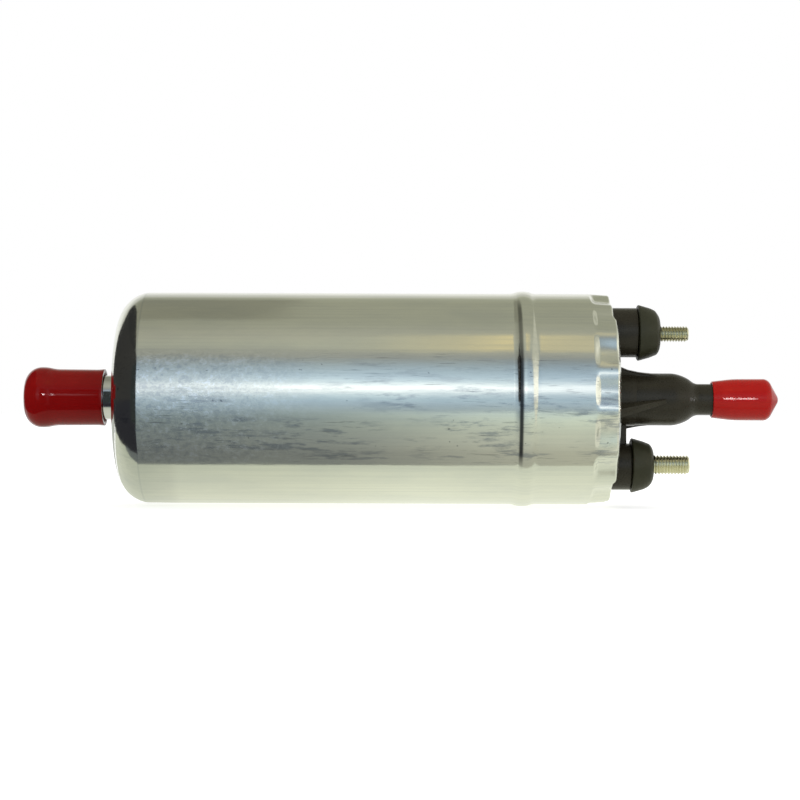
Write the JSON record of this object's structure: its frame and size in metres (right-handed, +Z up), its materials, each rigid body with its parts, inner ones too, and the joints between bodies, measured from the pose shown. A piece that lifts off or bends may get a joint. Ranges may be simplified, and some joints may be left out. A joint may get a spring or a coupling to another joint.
{
  "type": "electric fuel pump",
  "caption": "In-line electric fuel pump: crimped aluminium can with hose nipples at both ends, two stud terminals and red push-on transit caps",
  "frame": {"origin": "on the pump's axis, at the middle of the plain stretch of the can that the clamp holds", "axes": "+X towards the outlet, +Z up through the thinner terminal, +Y away from the camera"},
  "size_m": [0.1861, 0.0534, 0.0534],
  "materials": {
    "can_aluminium": "satin drawn",
    "nipple_zinc": "bright zinc",
    "stud_zinc": "yellow zinc",
    "bright_steel": "ground",
    "flux_steel": "rolled",
    "cast_aluminium": "die cast",
    "lamination_steel": "stamped",
    "ferrite": "sintered",
    "copper_wire": "enamelled",
    "commutator_copper": "turned",
    "bronze_bush": "sintered",
    "brass_parts": "turned",
    "brush_carbon": "pressed carbon",
    "rubber_seal": "matte",
    "boot_rubber": "matte",
    "cover_plastic": "moulded, slight gloss",
    "brush_plate_plastic": "moulded",
    "inlet_cap_red": "moulded",
    "outlet_cap_red": "moulded"
  },
  "bodies": {
    "pump_case": {"can": "can_aluminium", "inlet_nipple": "nipple_zinc", "inlet_gasket": "rubber_seal", "inlet_strainer": "bright_steel", "suction_plate": "cast_aluminium", "pump_seal_ring": "rubber_seal", "relief_spring": "bright_steel", "relief_plug": "brass_parts", "cam_ring": "bright_steel", "pressure_plate": "cast_aluminium", "pump_screws": "bright_steel", "flux_ring": "flux_steel", "upper_magnet": "ferrite", "lower_magnet": "ferrite", "front_magnet_clip": "bright_steel", "rear_magnet_clip": "bright_steel", "pump_end_bush": "bronze_bush", "cover_end_bush": "bronze_bush", "brush_plate": "brush_plate_plastic", "upper_brush_spring": "bright_steel", "lower_brush_spring": "bright_steel", "upper_contact_strip": "brass_parts", "lower_contact_strip": "brass_parts", "connection_cover": "cover_plastic", "cover_seal_ring": "rubber_seal", "valve_seat": "brass_parts", "valve_spring": "bright_steel", "upper_stud": "stud_zinc", "lower_stud": "stud_zinc"},
    "armature": {"armature_shaft": "bright_steel", "lamination_stack": "lamination_steel", "armature_winding": "copper_wire", "commutator": "commutator_copper", "pump_rotor": "bright_steel", "pump_end_washer": "bright_steel", "cover_end_washer": "bright_steel"},
    "roller_1_body": {"roller_1": "bright_steel"},
    "roller_2_body": {"roller_2": "bright_steel"},
    "roller_3_body": {"roller_3": "bright_steel"},
    "roller_4_body": {"roller_4": "bright_steel"},
    "roller_5_body": {"roller_5": "bright_steel"},
    "outlet_valve": {"valve_ball": "bright_steel"},
    "relief_valve": {"relief_ball": "bright_steel"},
    "upper_brush_body": {"upper_brush": "brush_carbon"},
    "lower_brush_body": {"lower_brush": "brush_carbon"},
    "inlet_cap_body": {"inlet_cap": "inlet_cap_red"},
    "outlet_cap_body": {"outlet_cap": "outlet_cap_red"},
    "upper_boot_body": {"upper_boot": "boot_rubber"},
    "lower_boot_body": {"lower_boot": "boot_rubber"}
  },
  "joints": [
    {"name": "armature_spin", "type": "hinge", "parent": "pump_case", "child": "armature", "pos_m": [0, 0, 0], "axis": [1, 0, 0], "continuous": true},
    {"name": "roller_1_spin", "type": "hinge", "parent": "armature", "child": "roller_1_body", "pos_m": [-0.032, 0, 0.0129], "axis": [1, 0, 0], "continuous": true},
    {"name": "roller_2_spin", "type": "hinge", "parent": "armature", "child": "roller_2_body", "pos_m": [-0.032, -0.01227, 0.00399], "axis": [1, 0, 0], "continuous": true},
    {"name": "roller_3_spin", "type": "hinge", "parent": "armature", "child": "roller_3_body", "pos_m": [-0.032, -0.00758, -0.01044], "axis": [1, 0, 0], "continuous": true},
    {"name": "roller_4_spin", "type": "hinge", "parent": "armature", "child": "roller_4_body", "pos_m": [-0.032, 0.00758, -0.01044], "axis": [1, 0, 0], "continuous": true},
    {"name": "roller_5_spin", "type": "hinge", "parent": "armature", "child": "roller_5_body", "pos_m": [-0.032, 0.01227, 0.00399], "axis": [1, 0, 0], "continuous": true},
    {"name": "outlet_valve_lift", "type": "slide", "parent": "pump_case", "child": "outlet_valve", "axis": [1, 0, 0], "range_m": [0, 0.002], "stiffness_N_per_m": 150, "springref_m": -0.004, "deforming": ["valve_spring"]},
    {"name": "relief_valve_lift", "type": "slide", "parent": "pump_case", "child": "relief_valve", "axis": [-1, 0, 0], "range_m": [0, 0.0012], "stiffness_N_per_m": 800, "springref_m": -0.002, "deforming": ["relief_spring"]},
    {"name": "upper_brush_slide", "type": "slide", "parent": "pump_case", "child": "upper_brush_body", "axis": [0, 0, 1], "range_m": [0, 0.0015], "stiffness_N_per_m": 150, "springref_m": -0.003, "deforming": ["upper_brush_spring"]},
    {"name": "lower_brush_slide", "type": "slide", "parent": "pump_case", "child": "lower_brush_body", "axis": [0, 0, -1], "range_m": [0, 0.0015], "stiffness_N_per_m": 150, "springref_m": -0.003, "deforming": ["lower_brush_spring"]},
    {"name": "inlet_cap_pull", "type": "slide", "parent": "pump_case", "child": "inlet_cap_body", "axis": [-1, 0, 0], "range_m": [0, 0.022]},
    {"name": "outlet_cap_pull", "type": "slide", "parent": "pump_case", "child": "outlet_cap_body", "axis": [1, 0, 0], "range_m": [0, 0.018]},
    {"name": "upper_boot_pull", "type": "slide", "parent": "pump_case", "child": "upper_boot_body", "axis": [1, 0, 0], "range_m": [0, 0.016]},
    {"name": "lower_boot_pull", "type": "slide", "parent": "pump_case", "child": "lower_boot_body", "axis": [1, 0, 0], "range_m": [0, 0.017]}
  ],
  "couplings": [
    {"joint": "roller_1_spin", "follows": "armature_spin", "ratio": -5.7333},
    {"joint": "roller_2_spin", "follows": "armature_spin", "ratio": -5.7333},
    {"joint": "roller_3_spin", "follows": "armature_spin", "ratio": -5.7333},
    {"joint": "roller_4_spin", "follows": "armature_spin", "ratio": -5.7333},
    {"joint": "roller_5_spin", "follows": "armature_spin", "ratio": -5.7333}
  ]
}
